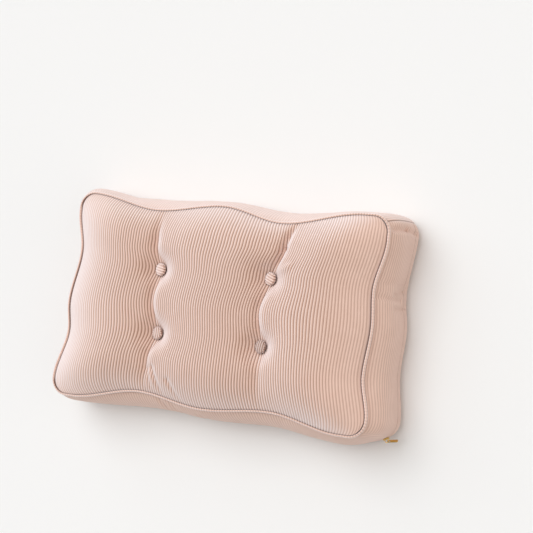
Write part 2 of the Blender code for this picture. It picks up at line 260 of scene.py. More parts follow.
# Small folds of the boxing: places along the seam and down from it of the two ends
RIGHT_FOLDS = in_mm(
    Fold,
    (151, 10, 154, 40, 5.5, 8),
    (154, 40, 149, 72, 4.5, 7),
    (66, 8, 67, 75, 2.2, 7),
    (52, 35, 59, 75, 4.0, 6),
    (45, 5, 41, 55, 3.8, 6),
    (27, 35, 30, 75, 3.2, 6),
)
BOTTOM_FOLDS = in_mm(
    Fold,
    (-95, 3, -74, 55, 4.5, 8),
    (-74, 3, -58, 45, 3.5, 7),
    (-22, 20, -8, 65, 3.0, 8),
)
SIDE_FOLDS = {(1, 0): RIGHT_FOLDS, (0, -1): BOTTOM_FOLDS}

# Uneven filling behind the boxing
LUMP_DEPTH = 1.4 * MM
LUMP_SCALE = 26

# How plainly the short seam at each corner of the boxing shows, in its groove and in painted shade:
# (side, rim)
CORNER_SEAMS = {(1, 1): 0.7, (1, -1): 0.12, (-1, 1): 0.4, (-1, -1): 0.4}
CORNER_GROOVE = 1.4
CORNER_SHADE = 0.8


def sign(value):
    """1 to the right or top of the middle, otherwise -1."""
    return 1 if value > 0 else -1


def smooth_step(share):
    """Ease from 0 to 1, level at both ends."""
    share = min(max(share, 0.0), 1.0)
    return share * share * (3 - 2 * share)


def beyond(share, start):
    """Ease from 0 at a start to 1 at the edge, alike to both sides of the middle."""
    return smooth_step((abs(share) - start) / (1 - start))


def from_button(point, button):
    """Distance from a button's middle, seen from above."""
    return math.hypot(point.x - button.across, point.y - button.up)


def read_table(rows, place, column):
    """Read a named column at a place, eased between the rows and level beyond them."""
    if place <= rows[0][0]:
        return getattr(rows[0], column)
    for low, high in zip(rows, rows[1:]):
        if place <= high[0]:
            share = smooth_step((place - low[0]) / (high[0] - low[0]))
            return getattr(low, column) * (1 - share) + getattr(high, column) * share
    return getattr(rows[-1], column)


def rise(share):
    """Rise from 0 at the edge to 1 at the end of its reach, steepest at the edge."""
    share = min(max(share, 0.0), 1.0)
    return 1 - (1 - share) ** CROWN_POWER


def fold_share(across, up, fold):
    """1 on the line of a fold, 0 at its reach to either side."""
    left, right = sorted((fold.start_x, fold.end_x))
    if not left - fold.reach < across < right + fold.reach:
        return 0.0
    start = Vector((fold.start_x, fold.start_y))
    way = Vector((fold.end_x, fold.end_y)) - start
    offset = Vector((across, up)) - start
    part = min(max(offset.dot(way) / way.length_squared, 0), 1)
    return smooth_step(1 - (offset - way * part).length / fold.reach)


def edge_pull(share):
    """How far a point of the panel follows the wavy edge ahead of it."""
    return beyond(share, EDGE_BLEND_START)


def corner_drop(inside, radius):
    """How far a rounded corner falls short of the edge, at a distance inside its end."""
    if inside >= radius:
        return 0.0
    return radius - math.sqrt(radius ** 2 - (radius - inside) ** 2)


class Outline:
    """Closed outline of four wavy edges and round corners, filled with a grid (u, v)."""

    def __init__(self, top, bottom, right, left, radius):
        self.rims = {1: top, -1: bottom}
        self.flanks = {1: right, -1: left}
        self.radius = radius

    def square_corner(self, side, rim):
        """Reach of the two edges where they would meet without the rounding."""
        across = read_table(self.flanks[side], rim * FAR, "reach")
        up = read_table(self.rims[rim], side * FAR, "reach")
        return across, up

    def corner(self, side, rim):
        """Middle of the rounded corner, where the dart seam starts."""
        across, up = self.square_corner(side, rim)
        cut = self.radius * (1 - math.sqrt(0.5))
        return Vector((side * (across - cut), rim * (up - cut), 0))

    def on_rim(self, u, rim):
        """Point of the top or bottom edge in the column u."""
        side = sign(u)
        limit, _ = self.square_corner(side, rim)
        x = u * HALF_WIDTH + edge_pull(u) * (self.corner(side, rim).x - side * HALF_WIDTH)
        reach = read_table(self.rims[rim], x, "reach")
        return Vector((x, rim * (reach - corner_drop(limit - abs(x), self.radius)), 0))

    def on_flank(self, side, v):
        """Point of the left or right edge in the row v."""
        rim = sign(v)
        _, limit = self.square_corner(side, rim)
        y = v * HALF_HEIGHT + edge_pull(v) * (self.corner(side, rim).y - rim * HALF_HEIGHT)
        reach = read_table(self.flanks[side], y, "reach")
        return Vector((side * (reach - corner_drop(limit - abs(y), self.radius)), y, 0))

    def inside(self, u, v):
        """Point (u, v) of the grid, drawn along with the edges near them."""
        side, rim = sign(u), sign(v)
        base = Vector((u * HALF_WIDTH, v * HALF_HEIGHT, 0))
        rim_move = self.on_rim(u, rim) - Vector((base.x, rim * HALF_HEIGHT, 0))
        flank_move = self.on_flank(side, v) - Vector((side * HALF_WIDTH, base.y, 0))
        corner_move = self.corner(side, rim) - Vector((side * HALF_WIDTH, rim * HALF_HEIGHT, 0))
        up, across = edge_pull(v), edge_pull(u)
        return base + up * rim_move + across * flank_move - up * across * corner_move

    def outward(self, u, v):
        """Direction that leads straight out of the outline at its edge point (u, v)."""
        side, rim = sign(u), sign(v)
        across, up = self.square_corner(side, rim)
        point = self.inside(u, v)
        if abs(v) > 1 - TINY:
            lean = max(self.radius - across + abs(point.x), 0) / self.radius
            return Vector((side * lean, rim * math.sqrt(max(1 - lean ** 2, 0)), 0))
        lean = max(self.radius - up + abs(point.y), 0) / self.radius
        return Vector((side * math.sqrt(max(1 - lean ** 2, 0)), rim * lean, 0))


FRONT = Outline(FRONT_TOP, FRONT_BOTTOM, FRONT_RIGHT, FRONT_LEFT, FRONT_CORNER)
BACK = Outline(BACK_TOP, BACK_BOTTOM, BACK_RIGHT, BACK_LEFT, BACK_CORNER)


def seam_height(u, v):
    """Height of the piping's middle, which rises a little at the corners."""
    return PIPING_HEIGHT + CORNER_LIFT * smooth_step(abs(u)) ** 3 * smooth_step(abs(v)) ** 3


def panel_height(point, u, v, settings):
    """Height of the filled front panel above the seam."""
    rim = FRONT.on_rim(u, sign(v))
    flank = FRONT.on_flank(sign(u), v)
    swell = rise(abs(flank.x - point.x) / CROWN_REACH_X) * rise(abs(rim.y - point.y) / CROWN_REACH_Y)
    height = settings.crown * swell
    for crease in CREASES:
        away = abs(point.x - read_table(crease, point.y, "across"))
        valley = read_table(crease, point.y, "depth") * (1 - min(away / CREASE_REACH, 1)) ** 2
        fold = read_table(crease, point.y, "fold") * (1 - min(away / FOLD_REACH, 1)) ** 2
        height -= swell * (valley + fold)
    for fold in PANEL_FOLDS:
        height -= swell * fold.depth * fold_share(point.x, point.y, fold)
    for button in BUTTONS:
        away = from_button(point, button)
        share = min(max((away - TUFT_HOLE) / (TUFT_REACH - TUFT_HOLE), 0), 1)
        height += (1 - share) ** TUFT_POWER * (settings.tuft_floor - height)
    return height


def panel_point(u, v, settings):
    """Point of the filled front panel at the place (u, v) of its outline's grid."""
    point = FRONT.inside(u, v)
    tuck = SEAM_BED * beyond(u, TUCK_START)
    point.z = seam_height(u, v)
    if abs(v) < 1 - TINY:
        point.x -= math.copysign(tuck, u)
        point.z += panel_height(point, u, v, settings)
    return point


class PanelRow:
    """One row across the panel, measured along the cloth from its left end."""

    def __init__(self, v, settings):
        self.places = [2 * step / ROW_SAMPLES - 1 for step in range(ROW_SAMPLES + 1)]
        points = [panel_point(u, v, settings) for u in self.places]
        self.shares = [0.0]
        for before, here in zip(points, points[1:]):
            self.shares.append(self.shares[-1] + (here - before).length)
        total = self.shares[-1]
        self.shares = [length / total for length in self.shares]
        self.points = points
        fade = beyond(v, RIM_FOLLOW_START)
        self.follow = FOLLOW * (1 - fade) + FOLLOW_AT_RIM * fade

    def find_crossings(self):
        """Note where the row meets the creases."""
        self.crossings = [self.crossing(crease) for crease in CREASES]

    def crossing(self, crease):
        """Share of the row's length at which it meets a crease."""
        past = [point.x - read_table(crease, point.y, "across") for point in self.points]
        step = next(index for index, away in enumerate(past) if away >= 0)
        part = past[step] / (past[step] - past[step - 1])
        return self.shares[step - 1] * part + self.shares[step] * (1 - part)

    def place(self, share, homes):
        """Place on the outline's grid of the wale that is at a share of the cloth's width."""
        ends = [0.0, *homes, 1.0]
        wanted = share
        for low, home, high, here in zip(ends, homes, ends[2:], self.crossings):
            near = (share - low) / (home - low) if share < home else (high - share) / (high - home)
            wanted += self.follow * smooth_step(near) ** FOLLOW_FADE * (here - home)
        for step in range(1, ROW_SAMPLES + 1):
            if self.shares[step] >= wanted:
                break
        low, high = self.shares[step - 1], self.shares[step]
        part = (wanted - low) / (high - low)
        return self.places[step - 1] * (1 - part) + self.places[step] * part


def boxing_shape(down):
    """Share of the way out to the fullest line and inset, at a share of the way down."""
    spread = 1 - (1 - min(down / FULLEST_LEVEL, 1)) ** SWELL_POWER
    under = max(1 - (1 - down) * PIPING_HEIGHT / UNDER_HEIGHT, 0)
    return spread, UNDER_INSET * (1 - math.sqrt(max(1 - under ** 2, 0)))


def boxing_levels():
    """Shares of the way down that space the boxing's wales evenly over its curve."""
    walk = [0.0]
    before = Vector((0, 0))
    for step in range(1, CURVE_SAMPLES + 1):
        down = step / CURVE_SAMPLES
        spread, inset = boxing_shape(down)
        here = Vector((spread * TYPICAL_SWELL - inset, -down * PIPING_HEIGHT))
        walk.append(walk[-1] + (here - before).length)
        before = here
    levels = []
    for wale in range(BOXING_WALES + 1):
        wanted = walk[-1] * wale / BOXING_WALES
        step = next(index for index, length in enumerate(walk) if length >= wanted - TINY)
        levels.append(step / CURVE_SAMPLES)
    return levels


def boxing_point(u, v, down):
    """Point of the boxing below the edge point (u, v), at a share of the way down."""
    spread, inset = boxing_shape(down)
    outward = BACK.outward(u, v)
    point = FRONT.inside(u, v).lerp(BACK.inside(u, v), spread) - inset * outward
    point.z = (seam_height(u, v) - SEAM_BED) * (1 - down)
    side = int(u) if abs(u) > 1 - TINY else 0
    rim = int(v) if side == 0 else 0
    along = point.y if side else point.x
    pressed = LUMP_DEPTH * noise.noise(point * LUMP_SCALE) * spread * (1 - down)
    for fold in SIDE_FOLDS.get((side, rim), ()):
        pressed += fold.depth * fold_share(along, down * PIPING_HEIGHT, fold)
    return point - pressed * outward


def crowd_row(v):
    """Bring the rows closer together towards the rims."""
    return math.sin(ROW_CROWDING * v) / math.sin(ROW_CROWDING)


def straighten(rows):
    """Even out the spacing from row to row, so that the wales run straight."""
    evened = []
    for index in range(len(rows)):
        near = rows[max(index - STRAIGHTEN, 0):index + STRAIGHTEN + 1]
        evened.append([sum(shares) / len(near) for shares in zip(*(row.shares for row in near))])
    for row, shares in zip(rows, evened):
        row.shares = shares
        row.find_crossings()


def lay_panel(mesh, layers, settings):
    """Shape the flat grid of the front panel, with the wales evenly spaced along the cloth."""
    levels = [crowd_row(2 * row / PANEL_ROWS - 1) for row in range(PANEL_ROWS + 1)]
    rows = [PanelRow(v, settings) for v in levels]
    straighten(rows)
    homes = [sum(row.crossings[crease] for row in rows) / len(rows) for crease in range(len(CREASES))]
    for vertex in mesh.verts:
        index = round((vertex.co.y + 1) / 2 * PANEL_ROWS)
        column, v = vertex.co.x, levels[index]
        u = column
        if abs(column) < 1 - TINY:
            u = rows[index].place((column + 1) / 2, homes)
        vertex[layers["column"]] = column
        vertex[layers["across"]] = u
        vertex[layers["row"]] = v
        vertex.co = panel_point(u, v, settings)
        if vertex.is_boundary:
            vertex.co = FRONT.inside(u, v) - SEAM_BED * FRONT.outward(u, v)
            vertex.co.z = seam_height(u, v)


def extrude_rim(mesh):
    """Extrude the cover's open edge and give its new points."""
    rim = [edge for edge in mesh.edges if edge.is_boundary]
    made = bmesh.ops.extrude_edge_only(mesh, edges=rim)["geom"]
    return [item for item in made if isinstance(item, bmesh.types.BMVert)]


def extend_boxing(mesh, layers, levels):
    """Carry the open edge down round the boxing, a ring for each wale, and in under it."""
    for ring, down in enumerate(levels, start=1):
        for vertex in extrude_rim(mesh):
            vertex[layers["ring"]] = ring
            vertex.co = boxing_point(vertex[layers["across"]], vertex[layers["row"]], down)
    for vertex in extrude_rim(mesh):
        u, v = vertex[layers["across"]], vertex[layers["row"]]
        vertex[layers["ring"]] = len(levels) + 1
        bow = UNDER_BOW * (1 - v * v) * beyond(u, UNDER_BOW_START)
        vertex.co = (u * (HALF_WIDTH - UNDER_EDGE + bow), v * (HALF_HEIGHT - UNDER_EDGE), 0)


# The seam value is painted shade: seams, rings round the tufts, the cord's inner side and the buttons'
# rims
LAYERS = ("column", "across", "row", "ring", "wale", "seam", "held")


def cover_layers(mesh):
    """Values that every point of the cover carries through the later cuts."""
    floats = mesh.verts.layers.float
    return {name: floats.get(name) or floats.new(name) for name in LAYERS}


def slider_place():
    """Middle of the zip slider."""
    low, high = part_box("zip_slider")
    return (low + high) / 2


def hold_weight(vertex, layers):
    """How firmly a point is held while the filling swells: 1 is sewn down."""
    ring = vertex[layers["ring"]]
    if ring > 0:
        seam = 1 - smooth_step((ring - 1) / HELD_RINGS)
        under = smooth_step((ring - BOXING_WALES + HELD_RINGS + 1) / HELD_RINGS)
        away = (vertex.co - slider_place()).length
        return max(seam, under, 1 - smooth_step((away - SLIDER_CLEAR) / SLIDER_CLEAR))
    edge = max(abs(vertex[layers["column"]]), abs(vertex[layers["row"]]))
    held = beyond(edge, HELD_EDGE)
    for button in BUTTONS:
        away = from_button(vertex.co, button)
        held = max(held, 1 - smooth_step((away - HELD_TUFT) / HELD_TUFT_FADE))
    for crease in CREASES:
        away = abs(vertex.co.x - read_table(crease, vertex.co.y, "across"))
        loose = smooth_step((away - HELD_CREASE) / HELD_CREASE_FADE)
        held = max(held, CREASE_HOLD * (1 - loose))
    return held


def swell_filling(cover, settings):
    """Let the filling press the cover out between its seams, with Blender's cloth."""
    group = cover.vertex_groups.new(name="held")
    held = cover.data.attributes["held"].data
    for index, item in enumerate(held):
        group.add([index], item.value, "REPLACE")
    rest = [vertex.co.copy() for vertex in cover.data.vertices]
    cloth = cover.modifiers.new("Filling", "CLOTH")
    fabric = cloth.settings
    fabric.quality = 5
    fabric.mass = 0.3
    fabric.tension_stiffness = 15
    fabric.compression_stiffness = 15
    fabric.shear_stiffness = 5
    fabric.bending_stiffness = 2
    fabric.use_pressure = True
    fabric.uniform_pressure_force = settings.pressure
    fabric.shrink_min = -settings.ease
    fabric.vertex_group_mass = group.name
    fabric.effector_weights.gravity = 0
    cloth.collision_settings.use_collision = False
    scene = bpy.context.scene
    for step in range(1, settings.steps + 1):
        scene.frame_set(step)
    seen = cover.evaluated_get(bpy.context.evaluated_depsgraph_get())
    moved = [vertex.co.copy() for vertex in seen.data.vertices]
    cover.modifiers.remove(cloth)
    cover.vertex_groups.remove(group)
    scene.frame_set(1)
    for vertex, old, new in zip(cover.data.vertices, rest, moved):
        step = new - old
        give = min(1, settings.give / max(step.length, TINY))
        vertex.co = old + step * give
        vertex.co.z = max(vertex.co.z, 0)


def cut_wales(mesh, layers):
    """Cut every wale lengthwise: up and down the panel, and along the side boxing."""
    column, ring = layers["column"], layers["ring"]
    across = [edge for edge in mesh.edges if abs(edge.verts[0][column] - edge.verts[1][column]) > TINY]
    bmesh.ops.subdivide_edges(mesh, edges=across, cuts=WALE_CUTS)
    down = [
        edge for edge in mesh.edges
        if min(end[ring] for end in edge.verts) >= 1
        and abs(edge.verts[0][ring] - edge.verts[1][ring]) > TINY
        and (
            all(abs(end[column]) > 1 - TINY for end in edge.verts)
            or any(end[ring] == BACK_SEAM_RING for end in edge.verts)
        )
    ]
    bmesh.ops.subdivide_edges(mesh, edges=down, cuts=WALE_CUTS)


def groove_share(phase):
    """1 in the groove between two wales, 0 on their round tops."""
    away = abs(phase - round(phase)) * 2
    return (1 - away) ** GROOVE_POWER


def taut_share(u):
    """How much of a groove is left, where the cloth is drawn tight towards the side seams."""
    return 1 - EDGE_TAUTNESS * beyond(u, TAUT_START)


def raise_wales(mesh, layers, settings):
    """Press the grooves in along the surface's own direction, and note where they are."""
    mesh.normal_update()
    for vertex in mesh.verts:
        u, v, ring = (vertex[layers[name]] for name in ("column", "row", "ring"))
        on_side = abs(u) > 1 - TINY
        on_rim = abs(v) > 1 - TINY
        phase = ring if on_side else (u + 1) / 2 * settings.wales
        groove = groove_share(phase) * (BOXING_GROOVE if ring > 0 else taut_share(u))
        # Painted shade of the seam gap beside the cord, darkest in the grooves
        seam = 0.0
        if ring < 1 + TINY:
            near_rim = 1 - smooth_step((1 - abs(v)) * HALF_HEIGHT / RIM_SEAM_SHADE_WIDTH)
            rim_shade = near_rim * (RIM_SEAM_SHADE + (1 - RIM_SEAM_SHADE) * groove)
            seam = max(rim_shade, SIDE_SEAM_SHADE if on_side else 0)
        if ring < 1 + TINY and (on_side or on_rim):
            groove = SEAM_GROOVE
        # Painted shade along the back seam, a dark line at the lower outline
        if abs(ring - BACK_SEAM_RING) < TINY:
            groove, seam = 1.0, BACK_SEAM_SHADE
        # Painted shade in the short corner seams
        if on_side and on_rim and ring > 1:
            shown = CORNER_SEAMS[round(u), round(v)]
            groove, seam = CORNER_GROOVE * shown, CORNER_SHADE * shown
        # Painted shade in a ring round each button, where the cloth is drawn in
        if ring < TINY:
            away = min(from_button(vertex.co, spot) for spot in BUTTONS)
            seam = max(seam, TUFT_SHADE * (1 - smooth_step((away - TUFT_HOLE) / TUFT_RING)))
        # The wale value darkens the grooves: the ground cloth's own colour and painted shade
        vertex[layers["wale"]] = 1 - min(groove, 1)
        vertex[layers["seam"]] = seam
        vertex.co -= settings.groove_depth * groove * vertex.normal
        vertex.co.z = max(vertex.co.z, 0)


def close_underside(mesh, layers):
    """Run the wales straight across the flat back and close the gap at either end."""
    rim = [edge for edge in mesh.edges if edge.is_boundary]
    lengthwise = [
        edge for edge in rim if all(abs(end[layers["row"]]) > 1 - TINY for end in edge.verts)
    ]
    bmesh.ops.bridge_loops(mesh, edges=lengthwise)
    ends = [edge for edge in mesh.edges if edge.is_boundary]
    bmesh.ops.holes_fill(mesh, edges=ends, sides=0)
    bmesh.ops.recalc_face_normals(mesh, faces=mesh.faces)


def make_cover(settings):
    """Cover and filling as one closed padded form."""
    mesh = bmesh.new()
    bmesh.ops.create_grid(mesh, x_segments=settings.wales, y_segments=PANEL_ROWS, size=1)
    layers = cover_layers(mesh)
    lay_panel(mesh, layers, settings)
    extend_boxing(mesh, layers, boxing_levels())
    bmesh.ops.recalc_face_normals(mesh, faces=mesh.faces)
    for vertex in mesh.verts:
        vertex[layers["held"]] = hold_weight(vertex, layers)
    cover = add_piece("pillow_cover", mesh)
    swell_filling(cover, settings)
    mesh = bmesh.new()
    mesh.from_mesh(cover.data)
    layers = cover_layers(mesh)
    cut_wales(mesh, layers)
    raise_wales(mesh, layers, settings)
    close_underside(mesh, layers)
    mesh.to_mesh(cover.data)
    mesh.free()
    cover.data.shade_smooth()
    return cover


def outline_walk(pitch):
    """Points once round the piping line, evenly spaced, with several to each rib."""
    shares = [1 - 2 * step / CURVE_SAMPLES for step in range(CURVE_SAMPLES)]
    rough = [FRONT.on_rim(share, 1) for share in shares]
    rough += [FRONT.on_flank(-1, share) for share in shares]
    rough += [FRONT.on_rim(-share, -1) for share in shares]
    rough += [FRONT.on_flank(1, -share) for share in shares]
    lengths = [0.0]
    for here, after in zip(rough, rough[1:] + rough[:1]):
        lengths.append(lengths[-1] + (after - here).length)
    count = round(lengths[-1] / pitch) * RIB_STEPS
    walk = []
    index = 0
    for point in range(count):
        wanted = lengths[-1] * point / count
        while lengths[index + 1] < wanted:
            index += 1
        share = (wanted - lengths[index]) / (lengths[index + 1] - lengths[index])
        here, after = rough[index], rough[(index + 1) % len(rough)]
        place = here.lerp(after, share)
        place.z = seam_height(place.x / HALF_WIDTH, place.y / HALF_HEIGHT)
        walk.append(place)
    return walk


def make_piping(settings):
    """Cord covered in corduroy cut across, so that its wales ring it as ribs."""
    walk = outline_walk(settings.rib_pitch)
    curve = bpy.data.curves.new("piping_path", "CURVE")
    curve.dimensions = "3D"
    curve.bevel_depth = PIPING_RADIUS
    curve.bevel_resolution = 3
    spline = curve.splines.new("POLY")
    spline.points.add(len(walk) - 1)
    for index, (knot, place) in enumerate(zip(spline.points, walk)):
        knot.co = place.to_4d()
        knot.radius = 1 - settings.rib_depth * groove_share(index / RIB_STEPS)
    spline.use_cyclic_u = True
    path = add_object("piping_path", curve)
    seen = path.evaluated_get(bpy.context.evaluated_depsgraph_get())
    data = bpy.data.meshes.new_from_object(seen)
    bpy.data.objects.remove(path, do_unlink=True)
    mesh = bmesh.new()
    mesh.from_mesh(data)
    bmesh.ops.remove_doubles(mesh, verts=mesh.verts, dist=0.01 * MM)
    bmesh.ops.recalc_face_normals(mesh, faces=mesh.faces)
    wale = mesh.verts.layers.float.new("wale")
    seam = mesh.verts.layers.float.new("seam")
    around = len(mesh.verts) // len(walk)
    for index, vertex in enumerate(mesh.verts):
        place = walk[index // around]
        # Painted shade in the rib grooves, fainter along the sides than at the rims
        rim = smooth_step((abs(place.y) / HALF_HEIGHT - RIM_START) / RIM_FADE)
        shade = settings.rib_shade * (SIDE_RIBS + (1 - SIDE_RIBS) * rim)
        vertex[wale] = 1 - shade * groove_share(index // around / RIB_STEPS)
        # Painted shade on the cord's inner side, next to the seam gap
        inward = -Vector((place.x / HALF_WIDTH ** 2, place.y / HALF_HEIGHT ** 2, 0)).normalized()
        side = (vertex.co - place).dot(inward) / PIPING_RADIUS
        vertex[seam] = smooth_step((side - CORD_SHADE_START + RIM_CORD_SHADE * rim) / CORD_SHADE_FADE)
    piping = add_piece("piping_cord", mesh)
    bpy.data.meshes.remove(data)
    return piping


# The button's turned-under rim: distance from its middle, height
BUTTON_UNDERSIDE = (
    (0.98, 0.20),
    (0.90, 0.07),
    (0.70, 0.0),
    (0.0, 0.0),
)


def make_button(spot, settings):
    """Covered button: a dome with a few wales over its top and a rim turned under."""
    mesh = bmesh.new()
    line = []
    for ring in range(DOME_RINGS + 1):
        turn = math.pi / 2 * ring / DOME_RINGS
        share = math.sin(turn) ** DOME_WIDTH_POWER
        height = BUTTON_EDGE + (1 - BUTTON_EDGE) * math.cos(turn) ** DOME_HEIGHT_POWER
        line.append((share, height))
    line += BUTTON_UNDERSIDE
    knots = [
        mesh.verts.new((share * settings.radius, 0, height * settings.height)) for share, height in line
    ]
    edges = [mesh.edges.new(pair) for pair in zip(knots, knots[1:])]
    bmesh.ops.spin(
        mesh, geom=knots + edges, cent=(0, 0, 0), axis=(0, 0, 1), angle=math.tau, steps=BUTTON_STEPS,
        use_merge=True,
    )
    bmesh.ops.remove_doubles(mesh, verts=mesh.verts, dist=0.02 * MM)
    bmesh.ops.recalc_face_normals(mesh, faces=mesh.faces)
    mesh.normal_update()
    wale = mesh.verts.layers.float.new("wale")
    seam = mesh.verts.layers.float.new("seam")
    for vertex in mesh.verts:
        across = vertex.co.x * math.cos(spot.lay) + vertex.co.y * math.sin(spot.lay)
        top = smooth_step(vertex.co.z / settings.height / BUTTON_WALES_FADE)
        groove = groove_share(across / settings.wale_pitch + 0.5) * top
        away = math.hypot(vertex.co.x, vertex.co.y) / settings.radius
        # Darker grooves on the button: ground cloth and painted shade
        vertex[wale] = 1 - min(BUTTON_WALES_SHADE * groove, 1)
        # Painted shade in the gathers round the rim and under the turned rim
        turn = math.atan2(vertex.co.y, vertex.co.x) / math.tau * settings.gathers
        gather = groove_share(turn) * smooth_step((away - GATHER_START) / GATHER_FADE)
        under = max(1 - vertex.co.z / settings.height / BUTTON_RIM_FADE, 0) * smooth_step(away)
        vertex[seam] = max(under, GATHER_SHADE * gather)
        vertex.co -= settings.groove_depth * groove * vertex.normal
    tilt = Matrix.Rotation(-settings.tilt, 3, "Y")
    bmesh.ops.rotate(mesh, verts=mesh.verts, cent=(0, 0, settings.height / 2), matrix=tilt)
    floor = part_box(spot.name)[0].z
    bmesh.ops.translate(mesh, verts=mesh.verts, vec=(spot.across, spot.up, floor))
    return add_piece(spot.name + "_cover", mesh)


def add_object(name, data):
    """Put data into the scene as a named object."""
    item = bpy.data.objects.new(name, data)
    bpy.context.scene.collection.objects.link(item)
    return item


def add_piece(name, shape):
    """Turn a bmesh into a smooth named object at the origin."""
    mesh = bpy.data.meshes.new(name)
    shape.to_mesh(mesh)
    shape.free()
    mesh.shade_smooth()
    return add_object(name, mesh)


class Amount:
    """A value in a material that takes part in Python expressions."""

    def __init__(self, finish, socket):
        self.finish = finish
        self.socket = socket

    def combine(self, operation, first, second):
        return self.finish.add("ShaderNodeMath", {"operation": operation}, {0: first, 1: second})

    def __add__(self, other):
        return self.combine("ADD", self, other)

    def __sub__(self, other):
        return self.combine("SUBTRACT", self, other)

    def __rsub__(self, other):
        return self.combine("SUBTRACT", other, self)

    def __mul__(self, other):
        return self.combine("MULTIPLY", self, other)

    __radd__ = __add__
    __rmul__ = __mul__


class Finish:
    """A material and the nodes that make it."""

    def __init__(self, name):
        self.material = bpy.data.materials.new(name)
        self.material.use_nodes = True
        self.tree = self.material.node_tree
        self.surface = self.tree.nodes["Principled BSDF"]

    def add(self, kind, settings=None, sockets=None, output=0):
        """Add one node: its own settings first, then the values or links of its sockets."""
        node = self.tree.nodes.new(kind)
        for name, value in (settings or {}).items():
            setattr(node, name, value)
        for name, value in (sockets or {}).items():
            self.join(node.inputs[name], value)
        return Amount(self, node.outputs[output])

    def join(self, socket, value):
        """Link a value to a socket, or set the socket to a plain number or colour."""
        if isinstance(value, Amount):
            self.tree.links.new(value.socket, socket)
        else:
            socket.default_value = value

    def mix(self, share, first, second):
        """Colour between two colours."""
        return self.add("ShaderNodeMix", {"data_type": "RGBA"}, {0: share, 6: first, 7: second}, 2)

    def attribute(self, name):
        """Value that the mesh carries under a name."""
        return self.add("ShaderNodeAttribute", {"attribute_name": name}, output=2)

    def noise(self, place, scale, detail=2.0, roughness=0.5):
        sockets = {"Vector": place, "Scale": scale, "Detail": detail, "Roughness": roughness}
        return self.add("ShaderNodeTexNoise", sockets=sockets)

    def painted_sheen(self):
        """Painted sheen of the pile, which lightens its colour: 0 where it is seen end on, 1 where it
        is seen from the side.
        """
        facing = self.add("ShaderNodeLayerWeight", sockets={"Blend": 0.5}, output=1)
        return self.spread(facing, PAINTED_SHEEN_START, PAINTED_SHEEN_FULL)

    def dress(self, sockets):
        """Give the surface its colours, values and relief."""
        for name, value in sockets.items():
            self.join(self.surface.inputs[name], value)

    def place(self):
        """Object coordinates, in metres."""
        return self.add("ShaderNodeTexCoord", output=3)

    def spread(self, amount, low, high):
        """Stretch a value so that low becomes 0 and high becomes 1."""
        sockets = {"Value": amount, "From Min": low, "From Max": high}
        return self.add("ShaderNodeMapRange", sockets=sockets)

    def bump(self, height, strength, distance):
        """Low relief from a value."""
        sockets = {"Height": height, "Strength": strength, "Distance": distance}
        return self.add("ShaderNodeBump", sockets=sockets)


# Painted sheen of the pile, paler where it is seen from the side: slants at which it starts
# and is fullest, how far it hides the grooves, and how much weaker it is on the boxing and
# stronger again on its top side, where the light falls from above
PAINTED_SHEEN_START = 0.09
PAINTED_SHEEN_FULL = 0.52
PAINTED_SHEEN_COVER = 0.75
BOXING_PAINTED_SHEEN = 0.85
TOP_PAINTED_SHEEN = 0.5
TOP_ROW = 0.97

# Cloth: size of its brushed patches and fibres, as noise scales, and how much the
# patches, the fibres and the painted seam shade change its colour
BRUSH_SCALE = 45.0
FIBRE_SCALE = 1400.0
BRUSH_SHARE = 0.35
FIBRE_SHARE = 0.12
SEAM_SHADE_SHARE = 0.9

# Brass: size of its worn patches and fine scratches, as noise scales, and how much
# the worn patches change its colour
WEAR_SCALE = 600.0
SCRATCH_SCALE = 1800.0
WEAR_SHARE = 0.5


def opaque(colour, scale=1.0):
    """Colour with full cover, made lighter or darker."""
    return (*(channel * scale for channel in colour), 1.0)


def corduroy(name, settings, tone=1.0):
    """Cut-pile cotton corduroy: soft wales, grooves darkened partly with painted shade, brushed
    patches, painted seam shade, a painted sheen and the shader's own sheen.
    """
    finish = Finish(name)
    place = finish.place()
    wale = finish.attribute("wale")
    seam = finish.attribute("seam")
    brushed = finish.spread(finish.noise(place, BRUSH_SCALE, 3.0), 0.35, 0.65)
    fibre = finish.noise(place, FIBRE_SCALE, 2.0, 0.7)
    # Painted light level: scales the colours of each button's own copy of the cloth
    groove = opaque(settings.groove, tone)
    brushed_pile = opaque(settings.pile_brushed, tone)
    crest = finish.mix(brushed * BRUSH_SHARE, opaque(settings.pile, tone), brushed_pile)
    # Painted sheen: paler pile seen from the side, less on the boxing, more on its lit top side
    boxing = finish.spread(finish.attribute("ring"), 0.0, 1.0)
    top = finish.spread(finish.attribute("row"), TOP_ROW, 1.0)
    painted_sheen = finish.painted_sheen() * (1 - boxing * (1 - top * TOP_PAINTED_SHEEN) * BOXING_PAINTED_SHEEN)
    crest = finish.mix(painted_sheen * settings.painted_sheen, crest, opaque(settings.pile_sheen, min(tone, 1)))
    # Darker grooves, ground cloth and painted shade, hidden where the painted sheen is strong
    cloth = finish.mix((1 - wale) * (1 - painted_sheen * PAINTED_SHEEN_COVER), crest, groove)
    cloth = finish.mix(fibre * FIBRE_SHARE, cloth, groove)
    # Painted shade from the seam value, in the seam colour
    cloth = finish.mix(seam * SEAM_SHADE_SHARE, cloth, opaque(settings.seam))
    finish.dress({
        "Base Color": cloth,
        "Roughness": 0.92,
        "Specular IOR Level": 0.2,
        "Sheen Weight": settings.sheen,
        "Sheen Roughness": 0.45,
        "Sheen Tint": (1.0, 0.86, 0.82, 1.0),
        "Normal": finish.bump(fibre, 0.35, 0.5 * MM),
    })
    return finish.material


